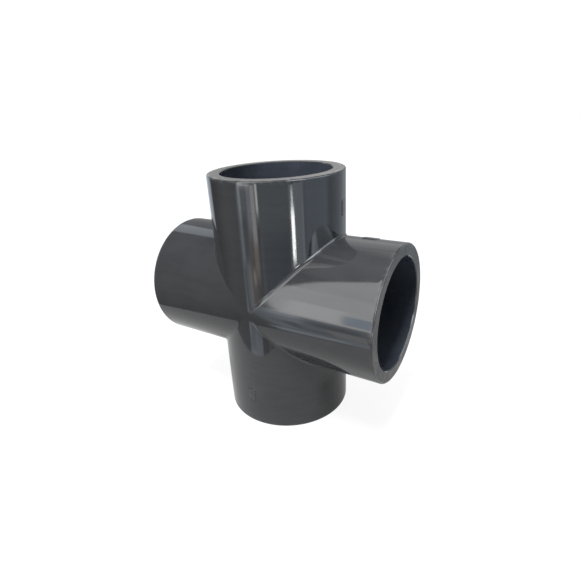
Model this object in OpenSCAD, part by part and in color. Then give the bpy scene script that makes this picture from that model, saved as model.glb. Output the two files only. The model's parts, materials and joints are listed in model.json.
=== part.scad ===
// Equal 90 degree cross fitting for solvent-cement pressure pipe.
// The two pipe axes are X and Z. They cross at the origin, and the fitting stands on
// the mouth of its lower socket.

/* [Pipe] */
// Outside diameter of the pipe that is glued into each socket
pipe_d = 50; // [40:1:75]
// How much wider than the pipe the socket bore is, on the diameter
bore_clearance = 0.2; // [0.1:0.05:0.4]

/* [Sockets] */
// Wall thickness of a socket
socket_wall = 5.7; // [4.5:0.1:7]
// Depth of a socket beyond half the pipe diameter
depth_allowance = 6; // [5:0.5:10]
// Rounding of the outer edge of each mouth
mouth_rounding = 0.7; // [0.5:0.1:1.5]
// Chamfer of the inner edge of each mouth
mouth_chamfer = 0.4; // [0.2:0.1:1]

/* [Centre body] */
// Distance from the crossing of the axes to a pipe stop, beyond half the pipe diameter
stop_allowance = 3; // [2:0.5:3]
// Width of the ledge that stops the pipe
stop_ledge = 2.6; // [1.5:0.1:4]
// Fillet radius in the corners between the arms
corner_fillet = 1.5; // [1:0.1:3]

/* [Moulding details] */
// Height of the blank marking pads and of the gate mark
relief = 0.35; // [0.2:0.05:0.6]
// Width of a marking pad, around the socket
pad_width = 4.5; // [3:0.5:8]
// Length of a marking pad, along the socket
pad_length = 7; // [4:0.5:10]
// Distance from a mouth to the middle of its marking pad
pad_inset = 16; // [12:0.5:18]
// Diameter of the gate mark
gate_d = 6; // [4:0.5:8]

/* [Hidden] */

bore_r = (pipe_d + bore_clearance) / 2;
outer_r = bore_r + socket_wall;
waterway_r = bore_r - stop_ledge;
stop_at = pipe_d / 2 + stop_allowance;
mouth_at = stop_at + pipe_d / 2 + depth_allowance;

// The body and a socket meet on a cone, from the edge of the pipe stop out to a ring
// that lies clear of the corner fillets.
seam_clear = 2.7;
seam_at = outer_r + corner_fillet + seam_clear;
seam_slope = (seam_at - stop_at) / socket_wall;

// How far a cut runs past the wall it opens
over = 4;

// Where a marking pad starts along its socket, at least a millimetre beyond the seam
pad_from = max(mouth_at - pad_inset - pad_length / 2, seam_at + 1);
// Depth of the pad's root inside the socket wall
pad_root = 1;

// Turning about the socket's own axis that brings each marking pad to its place. The
// lower socket has its pad at the front, the others on their rear half.
pad_turn_top = 100;
pad_turn_bottom = 3;
pad_turn_left = 170;
pad_turn_right = 259;

pvc_grey = [0.27, 0.28, 0.30];
$fn = 96;

// ---- corner fillets ----------------------------------------------------------------

// A ball of radius fillet_r(t) that touches both outer cylinders has its middle at
// angle t round each axis, from the flank (0) through the corner (90) to the far flank.
// The rings stop short of the flanks, where the fillet runs out into the cylinders.
fillet_from = 4;
fillet_steps = 24;
arc_steps = 4;
// Fraction of the arc by which a ring runs on under each cylinder
bury = 0.12;
// Depth of a ring's root below the outer cylinders
ring_root = 2;

function arc_angle(t) = acos(cos(t) * cos(t));
function fillet_r(t) = corner_fillet * 90 / arc_angle(t);
function ball_x(t) = (outer_r + fillet_r(t)) * sin(t);
function ball_y(t) = -(outer_r + fillet_r(t)) * cos(t);

// Directions from the ball's middle to where it touches the upright and level cylinders
function to_upright(t) = [-sin(t), cos(t), 0];
function to_level(t) = [0, cos(t), -sin(t)];

// Point at fraction f of the arc between those two touching points
function arc_point(t, f) =
    let (b = arc_angle(t))
    [ball_x(t), ball_y(t), ball_x(t)]
    + fillet_r(t) / sin(b) * (sin((1 - f) * b) * to_upright(t) + sin(f * b) * to_level(t));

// One ring: the arc, run a little under both cylinders, and a root inside the body
function fillet_ring(t) = concat(
    [for (k = [0:arc_steps]) arc_point(t, -bury + (1 + 2 * bury) * k / arc_steps)],
    [(outer_r - ring_root) * [sin(t), -cos(t), sin(t)]]);

module corner_filler() {
    ring_size = arc_steps + 2;
    angles = [for (i = [0:fillet_steps]) fillet_from + (180 - 2 * fillet_from) * i / fillet_steps];
    points = [for (t = angles) each fillet_ring(t)];
    sides = [for (i = [0:fillet_steps - 1]) for (k = [0:ring_size - 1])
        let (a = i * ring_size + k, b = i * ring_size + (k + 1) % ring_size)
        each [[a, b, b + ring_size], [a, b + ring_size, a + ring_size]]];
    first_end = [for (k = [ring_size - 1:-1:0]) k];
    last_end = [for (k = [0:ring_size - 1]) fillet_steps * ring_size + k];
    polyhedron(points, concat(sides, [first_end, last_end]), convexity = 4);
}

// ---- sub-parts ---------------------------------------------------------------------

// Everything beyond the seam cone and the pipe stop, along +Z
module socket_space() {
    rotate_extrude()
        polygon([
            [0, stop_at],
            [bore_r, stop_at],
            [outer_r + over, stop_at + seam_slope * (socket_wall + over)],
            [outer_r + over, mouth_at],
            [0, mouth_at]]);
}

module centre_body() {
    color(pvc_grey)
        difference() {
            union() {
                cylinder(r = outer_r, h = 2 * seam_at, center = true);
                rotate([0, 90, 0])
                    cylinder(r = outer_r, h = 2 * seam_at, center = true);
                for (turn = [0:90:270])
                    rotate([0, turn, 0])
                        corner_filler();
                gate_mark();
            }
            for (turn = [0:90:270])
                rotate([0, turn, 0])
                    socket_space();
            cylinder(r = waterway_r, h = 2 * mouth_at, center = true);
            rotate([0, 90, 0])
                cylinder(r = waterway_r, h = 2 * mouth_at, center = true);
        }
}

// Round mark left by the gate of the mould, in the middle of the rear face
module gate_mark() {
    rotate([-90, 0, 0])
        cylinder(d = gate_d, h = outer_r + relief);
}

// A socket along +Z, with its marking pad turned from the front towards +X
module socket(pad_turn) {
    color(pvc_grey) {
        rotate_extrude()
            socket_section();
        marking_pad(pad_turn);
    }
}

// Half section of a socket wall
module socket_section() {
    polygon([
        [bore_r, stop_at],
        [outer_r, seam_at],
        [outer_r, mouth_at - mouth_rounding],
        [outer_r - mouth_rounding, mouth_at - mouth_rounding],
        [outer_r - mouth_rounding, mouth_at],
        [bore_r + mouth_chamfer, mouth_at],
        [bore_r, mouth_at - mouth_chamfer]]);
    translate([outer_r - mouth_rounding, mouth_at - mouth_rounding])
        circle(r = mouth_rounding);
}

// Blank raised pad, where a maker moulds the size
module marking_pad(pad_turn) {
    half_angle = asin(pad_width / 2 / outer_r);
    translate([0, 0, pad_from])
        rotate([0, 0, pad_turn - 90 - half_angle])
            rotate_extrude(angle = 2 * half_angle)
                translate([outer_r - pad_root, 0])
                    square([pad_root + relief, pad_length]);
}

module socket_top() {
    socket(pad_turn_top);
}

module socket_bottom() {
    rotate([0, 180, 0])
        socket(pad_turn_bottom);
}

module socket_left() {
    rotate([0, -90, 0])
        socket(pad_turn_left);
}

module socket_right() {
    rotate([0, 90, 0])
        socket(pad_turn_right);
}

centre_body();
socket_top();
socket_bottom();
socket_left();
socket_right();
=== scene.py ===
"""Looks of an equal PVC-U cross fitting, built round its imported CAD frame.

Each CAD node is replaced by a finely meshed piece of the same shape, with the smooth
corner fillets, rounded mouths and soft-edged marks of a moulding.
"""
import json
import math
from collections import namedtuple

import bmesh
import bpy
from mathutils import Matrix, Vector


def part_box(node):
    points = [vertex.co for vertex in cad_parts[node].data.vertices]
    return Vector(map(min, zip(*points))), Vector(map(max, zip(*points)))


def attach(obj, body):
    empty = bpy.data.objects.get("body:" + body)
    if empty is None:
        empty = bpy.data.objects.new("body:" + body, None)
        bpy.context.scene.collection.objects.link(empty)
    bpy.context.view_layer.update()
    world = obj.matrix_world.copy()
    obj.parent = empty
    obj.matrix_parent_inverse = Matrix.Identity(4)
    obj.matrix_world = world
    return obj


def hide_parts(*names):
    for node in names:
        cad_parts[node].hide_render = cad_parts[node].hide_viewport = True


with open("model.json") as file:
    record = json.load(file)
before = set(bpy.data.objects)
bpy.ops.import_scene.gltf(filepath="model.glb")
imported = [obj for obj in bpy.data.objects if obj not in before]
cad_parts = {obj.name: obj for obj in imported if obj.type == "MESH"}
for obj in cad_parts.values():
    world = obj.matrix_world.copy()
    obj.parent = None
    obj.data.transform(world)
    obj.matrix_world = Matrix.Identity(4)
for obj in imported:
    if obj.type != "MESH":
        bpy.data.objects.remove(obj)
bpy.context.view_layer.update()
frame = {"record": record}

# ---- sizes, in metres ---------------------------------------------------------------

MM = 0.001
MOUNTS = {mount["name"]: mount for mount in frame["record"]["mounts"]}

# Read off the frame. The CAD mesh is tessellated, so sizes are rounded to 0.1 mm.
OUTER_R = round(-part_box("socket_top")[0].x, 4)
STOP_AT = round(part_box("socket_top")[0].z, 4)
MOUTH_AT = round(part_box("socket_top")[1].z, 4)
SEAM_AT = round(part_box("centre_body")[1].z, 4)
BORE_R = MOUNTS["socket_top"]["dims"]["r_mm"] * MM

# The rest of the part's sizes
WATERWAY_R = BORE_R - 2.6 * MM
CORNER_FILLET = 1.5 * MM
WATERWAY_ROUNDING = 1.0 * MM
LEDGE_ROUNDING = 0.4 * MM
MOUTH_ROUNDING = 0.7 * MM
MOUTH_CHAMFER = 0.4 * MM
RELIEF = 0.35 * MM
SOFT_EDGE = 0.35 * MM
GATE_R = 3.0 * MM
PAD_WIDTH = 4.5 * MM
PAD_LENGTH = 7.0 * MM
PAD_INSET = 16.0 * MM

# Each socket: its turn about Y from upright, and the turn of its marking pad about its
# own axis, from the front, in degrees
SOCKETS = {
    "socket_top": (0, 100),
    "socket_right": (90, 259),
    "socket_bottom": (180, 3),
    "socket_left": (-90, 170),
}

# Mesh density
HALF_TURN_STEPS = 96
FILLET_STEPS = 12
SLEEVE_STEPS = 18
BORE_STEPS = 12
ROUNDING_STEPS = 8
LEDGE_STEPS = 4
GATE_STEPS = 12
SHARP_ANGLE = math.radians(28)
WELD = 1e-6


def upright_to(turn):
    """Turns a shape that points up +Z to where that arm of the cross points."""
    return Matrix.Rotation(math.radians(turn), 3, "Y")


def ease(low, high, value):
    """0 below low, 1 above high, and smooth between."""
    t = min(max((value - low) / (high - low), 0.0), 1.0)
    return t * t * (3 - 2 * t)


# ---- mesh building ------------------------------------------------------------------


class Shell:
    """Collects grids of points, then welds them into one closed mesh."""

    def __init__(self):
        self.points, self.faces, self.kinds = [], [], []

    def grid(self, rows, kinds, close=False):
        """Adds rows of points as a sheet. kinds gives the material of each strip."""
        start, width = len(self.points), len(rows[0])
        for row in rows:
            self.points.extend(row)
        for r in range(len(rows) - 1):
            for c in range(width if close else width - 1):
                a, b = start + r * width + c, start + r * width + (c + 1) % width
                self.faces.append((a, b, b + width, a + width))
                self.kinds.append(kinds[r])

    def piece(self, name, materials, wear):
        """Makes the object. wear(point) says how rubbed the surface is there."""
        mesh = bpy.data.meshes.new(name)
        mesh.from_pydata(self.points, [], self.faces)
        for material in materials:
            mesh.materials.append(material)
        mesh.polygons.foreach_set("material_index", self.kinds)
        bm = bmesh.new()
        bm.from_mesh(mesh)
        bmesh.ops.remove_doubles(bm, verts=bm.verts, dist=WELD)
        bmesh.ops.dissolve_degenerate(bm, edges=bm.edges, dist=WELD)
        bmesh.ops.recalc_face_normals(bm, faces=bm.faces)
        for face in bm.faces:
            face.smooth = True
        for edge in bm.edges:
            edge.smooth = edge.calc_face_angle(0) < SHARP_ANGLE
        layer = bm.verts.layers.float.new("wear")
        for vert in bm.verts:
            vert[layer] = wear(vert.co)
        bm.to_mesh(mesh)
        bm.free()
        obj = bpy.data.objects.new(name, mesh)
        bpy.context.scene.collection.objects.link(obj)
        return obj


OUTSIDE, BORE, END_FACE = 0, 1, 2


# ---- centre body --------------------------------------------------------------------

# At the flanks, where sin(t) is below this, the fillet runs out flat
FLANK_SINE = 1e-6


def blend_angle(t):
    """Angle between the two cylinders' normals at angle t round either of them."""
    return math.acos(math.cos(t) ** 2)


def blend_radius(t, corner):
    """Radius of the ball that rolls along the corner, corner at t = 90 degrees."""
    return corner * (math.pi / 2) / blend_angle(t)


def foot(t, radius, corner):
    """Where the fillet leaves a cylinder, along that cylinder from the other's axis."""
    if abs(math.sin(t)) < FLANK_SINE:
        return corner * math.pi / math.sqrt(8)
    return (radius + blend_radius(t, corner)) * abs(math.sin(t))


def fillet_row(t, radius, corner):
    """Points across the fillet between the arms along +Z and +X."""
    reach, side = foot(t, radius, corner), -radius * math.cos(t)
    parts = [k / FILLET_STEPS for k in range(FILLET_STEPS + 1)]
    if math.sin(t) < FLANK_SINE:
        return [Vector((f * reach, side, (1 - f) * reach)) for f in parts]
    angle, ball = blend_angle(t), blend_radius(t, corner)
    middle = Vector((reach, -(radius + ball) * math.cos(t), reach))
    to_upright = Vector((-math.sin(t), math.cos(t), 0))
    to_level = Vector((0, math.cos(t), -math.sin(t)))
    return [
        middle
        + ball / math.sin(angle) * (math.sin((1 - f) * angle) * to_upright + math.sin(f * angle) * to_level)
        for f in parts
    ]


def crossing_angles():
    """Angles round an arm from the front to the rear, closer together at the gate mark."""
    even = [math.pi * i / HALF_TURN_STEPS for i in range(HALF_TURN_STEPS + 1)]
    gate_span = (GATE_R + 2 * SOFT_EDGE) / OUTER_R
    across_gate = [math.pi - gate_span * (1 - i / GATE_STEPS) for i in range(GATE_STEPS + 1)]
    return [t for t in even if t < math.pi - gate_span] + across_gate


def arm_sleeve(angles):
    """Rows of points from the outer fillet up to the seam, over it and down the bore."""
    sweep = angles + [2 * math.pi - t for t in reversed(angles[1:-1])]

    def ring(r, z):
        return [Vector((r * math.sin(t), -r * math.cos(t), z)) for t in sweep]

    def between(r, corner, top, f):
        return [
            Vector((r * math.sin(t), -r * math.cos(t), z))
            for t in sweep
            for z in [foot(t, r, corner) * (1 - f) + top * f]
        ]

    rise = [(i / SLEEVE_STEPS) ** 2 for i in range(SLEEVE_STEPS + 1)]
    outside = [between(OUTER_R, CORNER_FILLET, SEAM_AT, f) for f in rise]
    seam = [ring(OUTER_R + (BORE_R - OUTER_R) * f, SEAM_AT + (STOP_AT - SEAM_AT) * f) for f in (0.5, 1)]
    e = LEDGE_ROUNDING
    quarter = [math.pi / 2 * k / LEDGE_STEPS for k in range(LEDGE_STEPS + 1)]
    ledge = [ring(WATERWAY_R + e - e * math.sin(a), STOP_AT - e + e * math.cos(a)) for a in quarter]
    inside = [
        between(WATERWAY_R, WATERWAY_ROUNDING, STOP_AT - e, 1 - i / BORE_STEPS)
        for i in range(1, BORE_STEPS + 1)
    ]
    kinds = [OUTSIDE] * SLEEVE_STEPS + [BORE] * (2 + len(ledge) + BORE_STEPS)
    return outside + seam + ledge + inside, kinds


def add_crossing(shell, angles, radius, corner, kind):
    """The four corner fillets of two crossing cylinders, and the flats where they meet."""
    rows = [fillet_row(t, radius, corner) for t in angles]
    for turn in (0, 90, 180, 270):
        matrix = upright_to(turn)
        shell.grid([[matrix @ p for p in row] for row in rows], [kind] * (len(rows) - 1))
    reach = foot(0, radius, corner)
    steps = [k / FILLET_STEPS for k in range(FILLET_STEPS + 1)]
    for side in (-radius, radius):
        flat = [[Vector(((f - g) * reach, side, (1 - f - g) * reach)) for f in steps] for g in steps]
        shell.grid(flat, [kind] * FILLET_STEPS)


def centre_body(materials):
    angles = crossing_angles()
    shell = Shell()
    sleeve, kinds = arm_sleeve(angles)
    for turn in (0, 90, 180, 270):
        matrix = upright_to(turn)
        shell.grid([[matrix @ p for p in row] for row in sleeve], kinds, close=True)
    add_crossing(shell, angles, OUTER_R, CORNER_FILLET, OUTSIDE)
    add_crossing(shell, angles, WATERWAY_R, WATERWAY_ROUNDING, BORE)
    shell.points = [gate_mark(p) for p in shell.points]
    return shell.piece("centre_body_moulding", materials, lambda p: 0.0)


def gate_mark(point):
    """Raises the round gate mark in the middle of the rear face."""
    if point.y < (OUTER_R + WATERWAY_R) / 2:
        return point
    off_centre = math.hypot(point.x, point.z)
    return point + Vector((0, RELIEF * (1 - ease(GATE_R - SOFT_EDGE, GATE_R, off_centre)), 0))


# ---- sockets ------------------------------------------------------------------------

# A mouth's outer edge is rubbed from WEAR_FROM to WEAR_FULL short of the mouth, over
# the outermost WEAR_WIDTH of the wall. A pad's top is rubbed by PAD_WEAR of that.
WEAR_FROM, WEAR_FULL, WEAR_WIDTH = 1.6 * MM, 0.2 * MM, 2.0 * MM
PAD_WEAR = 0.6


def refined(values, marks, gap):
    """values and marks together in order, without values that crowd a mark."""
    kept = [v for v in values if all(abs(v - m) > gap for m in marks)]
    return sorted(kept + marks)


def edge_marks(middle, half, soft, steps=4):
    """Places for grid lines across both soft edges of a pad."""
    inner = [half - soft + soft * k / steps for k in range(steps + 1)]
    return [middle - d for d in reversed(inner)] + [middle + d for d in inner]


def socket(name, turn, pad_turn, materials):
    """A socket along its arm, with a blank raised pad where a maker moulds the size."""
    pad_angle = math.radians(pad_turn)
    pad_z = MOUTH_AT - PAD_INSET
    step = math.pi / HALF_TURN_STEPS
    marks = edge_marks(pad_angle, PAD_WIDTH / 2 / OUTER_R, SOFT_EDGE / OUTER_R)
    marks = [m % (2 * math.pi) for m in marks]
    sweep = refined([step * i for i in range(2 * HALF_TURN_STEPS)], sorted(marks), 0.3 * step)

    def pad(t, z):
        around = abs((t - pad_angle + math.pi) % (2 * math.pi) - math.pi) * OUTER_R
        along = abs(z - pad_z)
        across = 1 - ease(PAD_WIDTH / 2 - SOFT_EDGE, PAD_WIDTH / 2, around)
        return RELIEF * across * (1 - ease(PAD_LENGTH / 2 - SOFT_EDGE, PAD_LENGTH / 2, along))

    def ring(r, z, raised=False):
        radii = [r + (pad(t, z) if raised else 0) for t in sweep]
        return [Vector((q * math.sin(t), -q * math.cos(t), z)) for q, t in zip(radii, sweep)]

    e, c = MOUTH_ROUNDING, MOUTH_CHAMFER
    wall_top = MOUTH_AT - e
    heights = [SEAM_AT + (wall_top - SEAM_AT) * i / SLEEVE_STEPS for i in range(SLEEVE_STEPS + 1)]
    heights = refined(heights, edge_marks(pad_z, PAD_LENGTH / 2, SOFT_EDGE), 0.3 * MM)
    quarter = [math.pi / 2 * k / ROUNDING_STEPS for k in range(1, ROUNDING_STEPS + 1)]
    outside = [ring(OUTER_R, z, raised=True) for z in heights]
    rounding = [ring(OUTER_R - e + e * math.cos(a), wall_top + e * math.sin(a)) for a in quarter]
    rim_inner = BORE_R + c
    rim = [ring(OUTER_R - e + (rim_inner - OUTER_R + e) * f, MOUTH_AT) for f in (0.33, 0.67, 1)]
    bore = [
        ring(BORE_R, MOUTH_AT - c + (STOP_AT - MOUTH_AT + c) * i / BORE_STEPS)
        for i in range(BORE_STEPS + 1)
    ]
    seam = [ring(BORE_R + (OUTER_R - BORE_R) * f, STOP_AT + (SEAM_AT - STOP_AT) * f) for f in (0.5, 1)]
    kinds = [OUTSIDE] * (len(heights) - 1 + ROUNDING_STEPS) + [END_FACE] * 3
    kinds += [OUTSIDE] + [BORE] * (BORE_STEPS + 2)
    matrix = upright_to(turn)
    shell = Shell()
    rows = outside + rounding + rim + bore + seam
    shell.grid([[matrix @ p for p in row] for row in rows], kinds, close=True)
    back = matrix.inverted()

    def wear(point):
        local = back @ point
        radial = math.hypot(local.x, local.y)
        near_mouth = ease(WEAR_FROM, WEAR_FULL, MOUTH_AT - local.z)
        edge = near_mouth * ease(OUTER_R - WEAR_WIDTH, OUTER_R - e, radial)
        raised = ease(0.5 * RELIEF, RELIEF, radial - OUTER_R)
        return max(edge, PAD_WEAR * raised)

    return shell.piece(name + "_moulding", materials, wear)


# ---- materials ----------------------------------------------------------------------


class Nodes:
    """Short ways to add shader nodes and join them."""

    def __init__(self, tree):
        self.tree = tree
        tree.nodes.clear()

    def add(self, kind, settings=None, **inputs):
        node = self.tree.nodes.new("ShaderNode" + kind)
        for key, value in (settings or {}).items():
            setattr(node, key, value)
        for key, value in inputs.items():
            self.feed(node.inputs[key.replace("_", " ")], value)
        return node

    def feed(self, socket, value):
        if isinstance(value, bpy.types.NodeSocket):
            self.tree.links.new(value, socket)
        else:
            socket.default_value = value

    def math(self, operation, *values):
        node = self.add("Math", {"operation": operation})
        for socket, value in zip(node.inputs, values):
            self.feed(socket, value)
        return node.outputs[0]

    def remap(self, value, low, high, to_low=0.0, to_high=1.0):
        node = self.add("MapRange", {"interpolation_type": "SMOOTHSTEP"})
        for socket, item in zip(node.inputs, (value, low, high, to_low, to_high)):
            self.feed(socket, item)
        return node.outputs[0]

    def mix(self, factor, first, second):
        node = self.add("Mix", {"data_type": "RGBA"})
        for index, item in ((0, factor), (6, first), (7, second)):
            self.feed(node.inputs[index], item)
        return node.outputs[2]

    def noise(self, vector, scale, detail=2.0, roughness=0.5):
        node = self.add("TexNoise", Vector=vector, Scale=scale, Detail=detail, Roughness=roughness)
        return node.outputs["Fac"]

    def stretched(self, vector, scale):
        return self.add("Mapping", Vector=vector, Scale=scale).outputs[0]


def grey(value, blue=0.0):
    """A grey of that linear value, a little blue."""
    return (value * (1 - 0.5 * blue), value, value * (1 + blue), 1.0)


# Scales of the noises in cycles per metre. A stretched noise has one for each axis, and
# is drawn out along the axes with the smallest.
CLOUDS, SPECKS, RUBBED_SPOTS = 45.0, 2600.0, 420.0
FLOW_BANDS, FLOW_RIPPLES = (60.0, 60.0, 400.0), (220.0, 60.0, 220.0)
HAZE, SCRATCHED_AREAS = 90.0, 70.0
UPRIGHT_SCRATCHES, LEVEL_SCRATCHES = (2500.0, 900.0, 160.0), (160.0, 1100.0, 2500.0)
SINK_WAVES, ORANGE_PEEL = 28.0, 900.0

# Depths of the moulding's waves and ripples and of a scratch
WAVE_DEPTH, RIPPLE_DEPTH, SCRATCH_DEPTH = 0.10 * MM, 0.004 * MM, 0.002 * MM

PVC_IOR = 1.54


def moulded_pvc(name, base, roughness, peel, streak, blue=0.08, gloss=0.5):
    """Dark grey PVC-U as it leaves the mould.

    base is its linear grey, roughness how dull it is, peel the depth of the fine orange
    peel, streak how much the flow lines and scratches show, blue how blue the grey is,
    and gloss the strength of its reflections. A lighter, bluer base, as in the bore, is
    painted light: it stands in for the bluish light from above that reaches inside.
    """
    material = bpy.data.materials.new(name)
    material.use_nodes = True
    n = Nodes(material.node_tree)
    place = n.add("TexCoord").outputs["Object"]

    # Colour: slow clouds, faint flow lines, pigment specks and rubbed edges
    clouds = n.noise(place, CLOUDS, detail=3.0)
    flow = n.noise(n.stretched(place, FLOW_BANDS), 1.0, detail=4.0)
    specks = n.noise(place, SPECKS, detail=1.0)
    fine_tone = n.math("MULTIPLY_ADD", flow, 0.3, n.math("MULTIPLY", specks, 0.2))
    tone = n.math("MULTIPLY_ADD", clouds, 0.5, fine_tone)
    colour = n.mix(n.remap(tone, 0.35, 0.65), grey(base * 0.88, blue), grey(base * 1.14, blue))
    wear = n.add("Attribute", {"attribute_name": "wear"}).outputs["Fac"]
    rubbed = n.math("MULTIPLY", wear, n.remap(n.noise(place, RUBBED_SPOTS, detail=4.0), 0.40, 0.62))
    colour = n.mix(n.math("MULTIPLY", rubbed, 0.5), colour, grey(base * 2.6, 0.03))

    # Roughness: duller clouds, handling haze and fine scratches along the arms
    haze = n.remap(n.noise(place, HAZE, detail=4.0, roughness=0.6), 0.30, 0.75, -0.35, 0.45)
    upright = n.noise(n.stretched(place, UPRIGHT_SCRATCHES), 1.0)
    level = n.noise(n.stretched(place, LEVEL_SCRATCHES), 1.0)
    scratch = n.math("MAXIMUM", n.remap(upright, 0.66, 0.74), n.remap(level, 0.66, 0.74))
    scratch = n.math("MULTIPLY", scratch, n.remap(n.noise(place, SCRATCHED_AREAS), 0.45, 0.65))
    rough = n.math("MULTIPLY", roughness, n.math("ADD", 1.0, haze))
    rough = n.math("MULTIPLY_ADD", scratch, 0.10 * streak, rough)
    rough = n.math("MULTIPLY_ADD", rubbed, 0.16, rough)

    # Height: sink waves, orange peel, flow lines and scratches, in metres
    waves = n.math("MULTIPLY", n.noise(place, SINK_WAVES, detail=1.0), WAVE_DEPTH)
    skin = n.math("MULTIPLY", n.noise(place, ORANGE_PEEL), peel)
    ripples = n.math("MULTIPLY", n.noise(n.stretched(place, FLOW_RIPPLES), 1.0), RIPPLE_DEPTH * streak)
    marks = n.math("MULTIPLY_ADD", scratch, -SCRATCH_DEPTH * streak, ripples)
    height = n.math("ADD", n.math("ADD", waves, skin), marks)
    bump = n.add("Bump", Height=height, Strength=1.0, Distance=1.0).outputs[0]

    shader = n.add("BsdfPrincipled", Base_Color=colour, Roughness=rough, IOR=PVC_IOR, Normal=bump)
    n.feed(shader.inputs["Specular IOR Level"], gloss)
    n.add("OutputMaterial", Surface=shader.outputs[0])
    return material


# ---- stage: room, floor and light ---------------------------------------------------

NEUTRAL, WARM = (1.0, 1.0, 1.0), (1.15, 0.99, 0.86)
COOL, BLUE = (0.90, 1.0, 1.10), (0.84, 0.99, 1.17)

# A panel of the room that the gloss reflects. azimuth and elevation are its edges in
# degrees, with azimuth from the front (-Y) towards +X. soft is half the width of its
# blurred edge, and lean how far it swings towards -X per degree of elevation.
Panel = namedtuple("Panel", "azimuth elevation brightness tint soft lean", defaults=(NEUTRAL, 1.0, 0.0))

# Painted in this order, so a later panel covers an earlier one
ROOM = {
    # Left, rear and right of the part
    "left_shade": Panel((-130, -72), (-40, 12), 0.09, soft=20),
    "left_rear": Panel((-133, -101), (-20, 14), 0.90, COOL, soft=2),
    "rear_wall": Panel((-178, -146), (12, 60), 0.80, NEUTRAL, soft=8),
    "right_wall": Panel((74, 128), (-45, 32), 1.10, BLUE, soft=8),
    "right_rear": Panel((122, 180), (-45, 22), 0.62, COOL, soft=8),
    "right_window": Panel((50, 84), (4, 42), 8.00, COOL, soft=4),
    "right_blind": Panel((84, 132), (4, 42), 3.60, COOL, soft=6),
    # The wall in front, and the dark figure who stands before it
    "front_wall": Panel((-16, 27), (-3, 56), 2.60, NEUTRAL, soft=3),
    "photographer": Panel((1.5, 52), (-40, 22), 0.80, COOL),
    "photographer_core": Panel((4, 50), (-40, -17), 0.42, BLUE, soft=4),
    # Lamps and rails on the ceiling
    "ceiling_lamp_front": Panel((-20, 6), (54, 72), 3.00, soft=3),
    "ceiling_lamp_right": Panel((50, 72), (56, 70), 3.00, soft=3),
    "lamp_on_left": Panel((-126, -108), (29, 52), 1.05, COOL),
    "ceiling_shade": Panel((-108, -84), (37, 51.5), 0.02, BLUE, soft=2),
    "ceiling_rail": Panel((-166, -140), (40.5, 43), 0.55, BLUE, soft=0.7),
    # The window sill in front, with the things that lie on it
    "sill": Panel((-36.2, -19), (-36.5, -9.5), 1.00, COOL),
    "sill_shadow": Panel((-41, -16), (-38.5, -36), 0.55, COOL, soft=0.6),
    "sill_light": Panel((-38, -24.5), (-35.6, -31.5), 1.85, COOL, soft=0.8),
    "sill_right": Panel((-25, -11), (-36, -29), 1.35, COOL, soft=1.5),
    "sill_left": Panel((-35.5, -32), (-29.5, -24.5), 1.35, COOL),
    "sill_line": Panel((-32.3, -30.3), (-26.5, -20.5), 0.50, COOL, soft=0.6),
    "sill_notch": Panel((-30, -26), (-27.5, -25.2), 0.60, COOL, soft=0.6),
    "sill_box": Panel((-26, -19), (-27.5, -20.2), 1.35, NEUTRAL),
    "sill_dark": Panel((-28, -20), (-19.3, -13.3), 0.50, COOL, soft=1.2),
    "sill_edge": Panel((-33.2, -29), (-19.5, -7), 1.60, COOL, soft=0.8),
    "sill_glint": Panel((-33, -28.5), (-13.5, -7), 2.50, COOL, soft=1.2),
    # Warm corner with a lamp, beside the sill
    "warm_wall": Panel((-19, -9.5), (-26, -16), 0.65, WARM, soft=1.5),
    "warm_spot": Panel((-17, -12), (-22.6, -20.8), 2.00, WARM, soft=0.7),
    "warm_curtain": Panel((-18, -9.5), (-16, -7), 1.80, COOL, soft=2),
    "lamp_base": Panel((-11, -3.5), (-22, -15), 1.30, WARM, soft=1.5),
    "lamp": Panel((-10.5, -3.5), (-17, -7), 3.10, NEUTRAL, soft=1.5),
    "lamp_streak": Panel((-2.2, 1.4), (-13.4, -5), 5.50, NEUTRAL, soft=1),
    # Narrow bright window to the front right, with its curtain
    "side_window_glow": Panel((51.0, 60), (-20.5, -9), 1.60, COOL, soft=1.2),
    "side_curtain": Panel((59, 75), (-21.5, -7), 1.60, COOL, soft=0.8),
    "side_curtain_fold": Panel((71.5, 74), (-20, -12), 2.00, COOL, soft=0.8),
    "side_window_tip": Panel((54.5, 57.5), (-13.5, -10.5), 8.00, NEUTRAL, soft=0.8),
    "side_window": Panel((53.6, 58.8), (-19.6, -13.0), 22.50, NEUTRAL, soft=0.8),
    # Tall window to the front left
    "front_window_top": Panel((-28.6, -3), (18, 68.3), 3.50, NEUTRAL, soft=1.2, lean=0.235),
    "front_window": Panel((-32.6, -12.5), (-9.5, 33), 3.90, NEUTRAL, soft=0.9, lean=0.12),
    "front_window_core": Panel((-30.5, -22.5), (-7, 13), 4.90, NEUTRAL, soft=1.5),
    "front_window_plant": Panel((-22.4, -13), (-6.5, 7), 2.50, BLUE, soft=0.9),
}

# Brightness of the bare room at each elevation
ROOM_GLOW = (
    (-90, 0.30), (-36, 0.30), (-20, 0.40), (-5, 0.44), (30, 0.20), (50, 0.10), (53, 0.36), (90, 0.48),
)
# Even light that the object's diffuse shading gets from each elevation instead, with a
# dark side to the front right, which keeps the right socket dark inside
STUDIO_GLOW = ((-90, 0.25), (5, 0.25), (30, 0.80), (50, 1.50), (90, 2.20))
STUDIO = {
    "dark_side": Panel((12, 150), (-75, 64), 0.06, soft=12),
}
# The plain background that the camera sees
BACKDROP = 1.05


def room_glow(n, elevation, stops):
    """Brightness by elevation."""
    ramp = n.add("ValToRGB", Fac=n.math("MULTIPLY_ADD", elevation, 1 / 180, 0.5))
    elements = ramp.color_ramp.elements
    while len(elements) < len(stops):
        elements.new(0.5)
    for element, (angle, value) in zip(elements, stops):
        element.position = (angle + 90) / 180
        element.color = grey(value, 0.02)
    return ramp.outputs["Color"]


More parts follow.
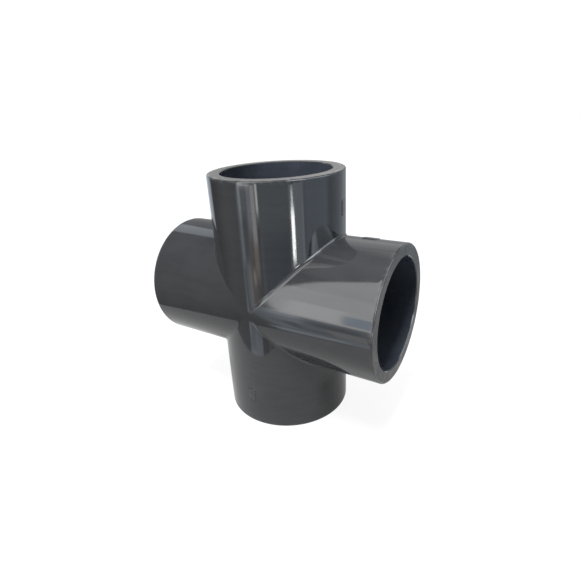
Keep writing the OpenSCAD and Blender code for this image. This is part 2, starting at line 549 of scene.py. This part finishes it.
def panel_mask(n, azimuth, elevation, panel):
    """1 inside a panel of the room, 0 outside."""
    middle = [sum(edges) / 2 for edges in (panel.azimuth, panel.elevation)]
    half = [(edges[1] - edges[0]) / 2 for edges in (panel.azimuth, panel.elevation)]
    swung = n.math("MULTIPLY_ADD", elevation, panel.lean, azimuth) if panel.lean else azimuth
    aside = n.math("WRAP", n.math("SUBTRACT", swung, middle[0]), 180.0, -180.0)
    above = n.math("SUBTRACT", elevation, middle[1])
    masks = [
        n.remap(n.math("ABSOLUTE", off), size - panel.soft, size + panel.soft, 1.0, 0.0)
        for off, size in ((aside, half[0]), (above, half[1]))
    ]
    return n.math("MULTIPLY", *masks)


def with_panels(n, azimuth, elevation, colour, panels):
    """Paints panels in order over the light that is there."""
    for panel in panels:
        shown = (*[panel.brightness * channel for channel in panel.tint], 1.0)
        colour = n.mix(panel_mask(n, azimuth, elevation, panel), colour, shown)
    return colour


def make_room():
    """The light all round: a room for the gloss, even studio light for the rest, and
    plain white behind."""
    world = bpy.data.worlds.new("room")
    world.use_nodes = True
    bpy.context.scene.world = world
    n = Nodes(world.node_tree)
    x, y, z = n.add("SeparateXYZ", Vector=n.add("TexCoord").outputs["Generated"]).outputs
    azimuth = n.math("MULTIPLY", n.math("ARCTAN2", x, n.math("MULTIPLY", y, -1.0)), 180 / math.pi)
    elevation = n.math("MULTIPLY", n.math("ARCSINE", z), 180 / math.pi)
    room = with_panels(n, azimuth, elevation, room_glow(n, elevation, ROOM_GLOW), ROOM.values())
    studio = with_panels(n, azimuth, elevation, room_glow(n, elevation, STUDIO_GLOW), STUDIO.values())
    path = n.add("LightPath")
    colour = n.mix(path.outputs["Is Glossy Ray"], studio, room)
    colour = n.mix(path.outputs["Is Camera Ray"], colour, grey(BACKDROP))
    n.add("OutputWorld", Surface=n.add("Background", Color=colour).outputs[0])


def make_flat(name, corners, height, tone, glow):
    """A level pale sheet of the stage."""
    mesh = bpy.data.meshes.new(name)
    mesh.from_pydata([(x, y, height) for x, y in corners], [], [tuple(range(len(corners)))])
    mesh.materials.append(pale_matt(name, tone, glow))
    sheet = bpy.data.objects.new(name, mesh)
    bpy.context.scene.collection.objects.link(sheet)
    return sheet


def pale_matt(name, tone, glow):
    """Matt pale sheet. tone is its linear grey, glow the light it adds of its own."""
    material = bpy.data.materials.new(name)
    material.use_nodes = True
    n = Nodes(material.node_tree)
    cloud = n.noise(n.add("TexCoord").outputs["Object"], 6.0)
    colour = n.mix(cloud, grey(tone - 0.01), grey(tone + 0.01))
    matt = n.add("BsdfDiffuse", Color=colour).outputs[0]
    lit = n.add("Emission", Color=grey(1.0), Strength=glow).outputs[0]
    both = n.add("AddShader")
    n.feed(both.inputs[0], matt)
    n.feed(both.inputs[1], lit)
    n.add("OutputMaterial", Surface=both.outputs[0])
    return material


# The floor that the camera sees reaches FLOOR_HALF from the part on all sides
FLOOR_HALF = 4.0
FLOOR_TONE, FLOOR_GLOW = 0.12, 0.90
# The table top lights the part from below and shows in its gloss, but the camera doesn't
# see it. Its front edge crosses X = 0 at TABLE_EDGE and runs askew, and it lies
# TABLE_DROP under the floor.
TABLE_HALF = 0.19
TABLE_EDGE, TABLE_SLOPE = -0.094, 0.27
TABLE_DROP = 0.0001
TABLE_TONE, TABLE_GLOW = 0.25, 0.36


def make_floor():
    """The floor that only the camera sees, and the table top that only the part sees."""
    corners = [(x * FLOOR_HALF, y * FLOOR_HALF) for x, y in ((-1, -1), (1, -1), (1, 1), (-1, 1))]
    floor = make_flat("floor", corners, -MOUTH_AT, FLOOR_TONE, FLOOR_GLOW)
    floor.visible_glossy = floor.visible_diffuse = floor.visible_shadow = False
    edge = [(x, TABLE_EDGE - TABLE_SLOPE * x) for x in (-TABLE_HALF, TABLE_HALF)]
    corners = edge + [(TABLE_HALF, TABLE_HALF), (-TABLE_HALF, TABLE_HALF)]
    table = make_flat("table_top", corners, -MOUTH_AT - TABLE_DROP, TABLE_TONE, TABLE_GLOW)
    table.visible_camera = table.visible_shadow = False


KEY_AZIMUTH, KEY_ELEVATION = math.radians(2), math.radians(70)
KEY_DISTANCE, KEY_SIZE = 1.2, 0.36
KEY_POWER = 21.0


def direction(azimuth, elevation):
    """Unit vector towards an azimuth, from the front towards +X, and an elevation."""
    level = math.cos(elevation)
    return Vector((math.sin(azimuth) * level, -math.cos(azimuth) * level, math.sin(elevation)))


def make_key_light():
    """A broad light from high in front, for the diffuse shading and the soft shadow."""
    light = bpy.data.lights.new("softbox", "AREA")
    light.size = KEY_SIZE
    light.energy = KEY_POWER
    lamp = bpy.data.objects.new("softbox", light)
    towards = direction(KEY_AZIMUTH, KEY_ELEVATION)
    lamp.location = towards * KEY_DISTANCE
    lamp.rotation_euler = towards.to_track_quat("Z", "Y").to_euler()
    lamp.visible_glossy = False
    lamp.visible_camera = False
    bpy.context.scene.collection.objects.link(lamp)


# ---- camera -------------------------------------------------------------------------

CAMERA_AZIMUTH = math.radians(34.05)
CAMERA_ELEVATION = math.radians(23.7)
CAMERA_DISTANCE = 213.2 * MM
CAMERA_AIM = Vector((2.58, 1.77, 0.05)) * MM
CAMERA_ROLL = math.radians(-3.31)
CAMERA_LENS = 26.51


def make_camera():
    data = bpy.data.cameras.new("camera")
    data.lens = CAMERA_LENS
    data.clip_start, data.clip_end = 0.01, 20
    camera = bpy.data.objects.new("camera", data)
    camera.location = direction(CAMERA_AZIMUTH, CAMERA_ELEVATION) * CAMERA_DISTANCE
    look = (CAMERA_AIM - camera.location).to_track_quat("-Z", "Y").to_matrix()
    roll = Matrix.Rotation(CAMERA_ROLL, 3, "Z")
    camera.rotation_euler = (look @ roll).to_euler()
    bpy.context.scene.collection.objects.link(camera)
    bpy.context.scene.camera = camera


# ---- assembly -----------------------------------------------------------------------


def stand_for(piece, node):
    """The piece rides with the part and stands for that CAD node."""
    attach(piece, "root")
    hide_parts(node)


def main():
    make_camera()
    make_room()
    make_floor()
    make_key_light()
    materials = [
        moulded_pvc("pvc_outside", base=0.033, roughness=0.06, peel=0.0003 * MM, streak=1.0),
        # The bore is the same plastic as the outside. Its grey is painted lighter and bluer as painted
        # light, standing in for the bluish light from above that reaches inside the sockets.
        moulded_pvc("pvc_bore_painted_skylight", base=0.060, roughness=0.20, peel=0.0010 * MM, streak=0.6, blue=0.3),
        moulded_pvc(
            "pvc_end_face", base=0.105, roughness=0.40, peel=0.0040 * MM, streak=1.0, blue=-0.02, gloss=0.12
        ),
    ]
    stand_for(centre_body(materials), "centre_body")
    for name, (turn, pad_turn) in SOCKETS.items():
        stand_for(socket(name, turn, pad_turn, materials), name)
    bpy.context.scene.view_settings.view_transform = "Standard"


main()
